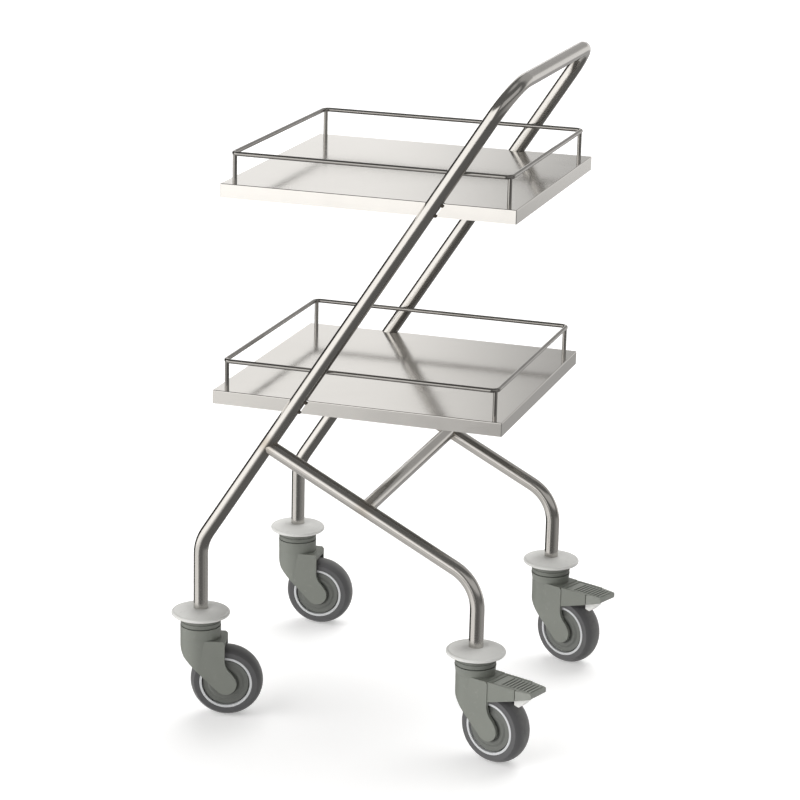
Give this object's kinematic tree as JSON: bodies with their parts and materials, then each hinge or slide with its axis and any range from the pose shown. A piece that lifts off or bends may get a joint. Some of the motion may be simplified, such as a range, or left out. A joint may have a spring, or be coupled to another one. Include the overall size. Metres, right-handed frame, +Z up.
{
  "type": "instrument cart",
  "caption": "Clinic instrument cart: railed steel trays carried between the arms of a slanting bent-tube handle frame on swivel castors, with foot brakes on the handle side.",
  "frame": {"origin": "on the floor, under the middle of the footprint", "axes": "+Z up, +X along the trays towards the handle, +Y across the cart"},
  "size_m": [0.5464, 0.4825, 0.9305],
  "materials": {
    "satin_steel_tube": "satin brushed stainless steel, fine lines along the tube",
    "tray_steel": "fine satin stainless sheet with soft reflections",
    "bright_rod": "polished stainless rod",
    "weld": "dark heat-tinted weld bead",
    "bumper_grey": "pale grey soft moulded plastic",
    "fork_grey": "fine-grained green-grey moulded plastic",
    "hidden_steel": "plain turned steel",
    "bush": "black plain bearing plastic",
    "tyre_grey": "dark grey smooth rubber",
    "ring_pale": "pale grey ring",
    "shoe_white": "white plastic"
  },
  "bodies": {
    "frame": {"handle_frame": "satin_steel_tube", "rear_leg_left": "satin_steel_tube", "rear_leg_right": "satin_steel_tube", "cross_tube": "satin_steel_tube", "upper_tray": "tray_steel", "upper_rail": "bright_rod", "upper_rail_posts": "bright_rod", "upper_tray_welds": "weld", "lower_tray": "tray_steel", "lower_rail": "bright_rod", "lower_rail_posts": "bright_rod", "lower_tray_welds": "weld", "bumper_front_left": "bumper_grey", "collar_front_left": "fork_grey", "stem_front_left": "hidden_steel", "bumper_front_right": "bumper_grey", "collar_front_right": "fork_grey", "stem_front_right": "hidden_steel", "bumper_rear_left": "bumper_grey", "collar_rear_left": "fork_grey", "stem_rear_left": "hidden_steel", "bumper_rear_right": "bumper_grey", "collar_rear_right": "fork_grey", "stem_rear_right": "hidden_steel"},
    "swivel_front_left": {"fork_front_left": "fork_grey", "axle_front_left": "hidden_steel"},
    "wheel_front_left": {"tyre_front_left": "tyre_grey", "wheel_core_front_left": "fork_grey", "wheel_rings_front_left": "ring_pale", "wheel_bush_front_left": "bush"},
    "swivel_front_right": {"fork_front_right": "fork_grey", "axle_front_right": "hidden_steel"},
    "wheel_front_right": {"tyre_front_right": "tyre_grey", "wheel_core_front_right": "fork_grey", "wheel_rings_front_right": "ring_pale", "wheel_bush_front_right": "bush"},
    "pedal_rear_left": {"pedal_rear_left": "fork_grey", "brake_shoe_rear_left": "shoe_white"},
    "swivel_rear_left": {"fork_rear_left": "fork_grey", "axle_rear_left": "hidden_steel", "brake_housing_rear_left": "fork_grey", "brake_pin_rear_left": "hidden_steel"},
    "wheel_rear_left": {"tyre_rear_left": "tyre_grey", "wheel_core_rear_left": "fork_grey", "wheel_rings_rear_left": "ring_pale", "wheel_bush_rear_left": "bush"},
    "pedal_rear_right": {"pedal_rear_right": "fork_grey", "brake_shoe_rear_right": "shoe_white"},
    "swivel_rear_right": {"fork_rear_right": "fork_grey", "axle_rear_right": "hidden_steel", "brake_housing_rear_right": "fork_grey", "brake_pin_rear_right": "hidden_steel"},
    "wheel_rear_right": {"tyre_rear_right": "tyre_grey", "wheel_core_rear_right": "fork_grey", "wheel_rings_rear_right": "ring_pale", "wheel_bush_rear_right": "bush"}
  },
  "joints": [
    {"name": "castor_swivel_front_left", "type": "hinge", "parent": "frame", "child": "swivel_front_left", "pos_m": [-0.2315, -0.195, 0.12], "axis": [0, 0, 1], "continuous": true},
    {"name": "wheel_spin_front_left", "type": "hinge", "parent": "swivel_front_left", "child": "wheel_front_left", "pos_m": [-0.19585, -0.18511, 0.051], "axis": [-0.2672, 0.9636, 0], "continuous": true},
    {"name": "castor_swivel_front_right", "type": "hinge", "parent": "frame", "child": "swivel_front_right", "pos_m": [-0.2315, 0.195, 0.12], "axis": [0, 0, 1], "continuous": true},
    {"name": "wheel_spin_front_right", "type": "hinge", "parent": "swivel_front_right", "child": "wheel_front_right", "pos_m": [-0.19459, 0.19758, 0.051], "axis": [-0.0698, 0.9976, 0], "continuous": true},
    {"name": "castor_swivel_rear_left", "type": "hinge", "parent": "frame", "child": "swivel_rear_left", "pos_m": [0.1695, -0.195, 0.12], "axis": [0, 0, 1], "continuous": true},
    {"name": "wheel_spin_rear_left", "type": "hinge", "parent": "swivel_rear_left", "child": "wheel_rear_left", "pos_m": [0.20438, -0.20735, 0.051], "axis": [0.3338, 0.9426, 0], "continuous": true},
    {"name": "brake_pedal_rear_left", "type": "hinge", "parent": "swivel_rear_left", "child": "pedal_rear_left", "pos_m": [0.21286, -0.21035, 0.108], "axis": [0.3338, 0.9426, 0], "range_deg": [0, 6]},
    {"name": "castor_swivel_rear_right", "type": "hinge", "parent": "frame", "child": "swivel_rear_right", "pos_m": [0.1695, 0.195, 0.12], "axis": [0, 0, 1], "continuous": true},
    {"name": "wheel_spin_rear_right", "type": "hinge", "parent": "swivel_rear_right", "child": "wheel_rear_right", "pos_m": [0.20392, 0.18144, 0.051], "axis": [0.3665, 0.9304, 0], "continuous": true},
    {"name": "brake_pedal_rear_right", "type": "hinge", "parent": "swivel_rear_right", "child": "pedal_rear_right", "pos_m": [0.2123, 0.17814, 0.108], "axis": [0.3665, 0.9304, 0], "range_deg": [0, 6]}
  ]
}
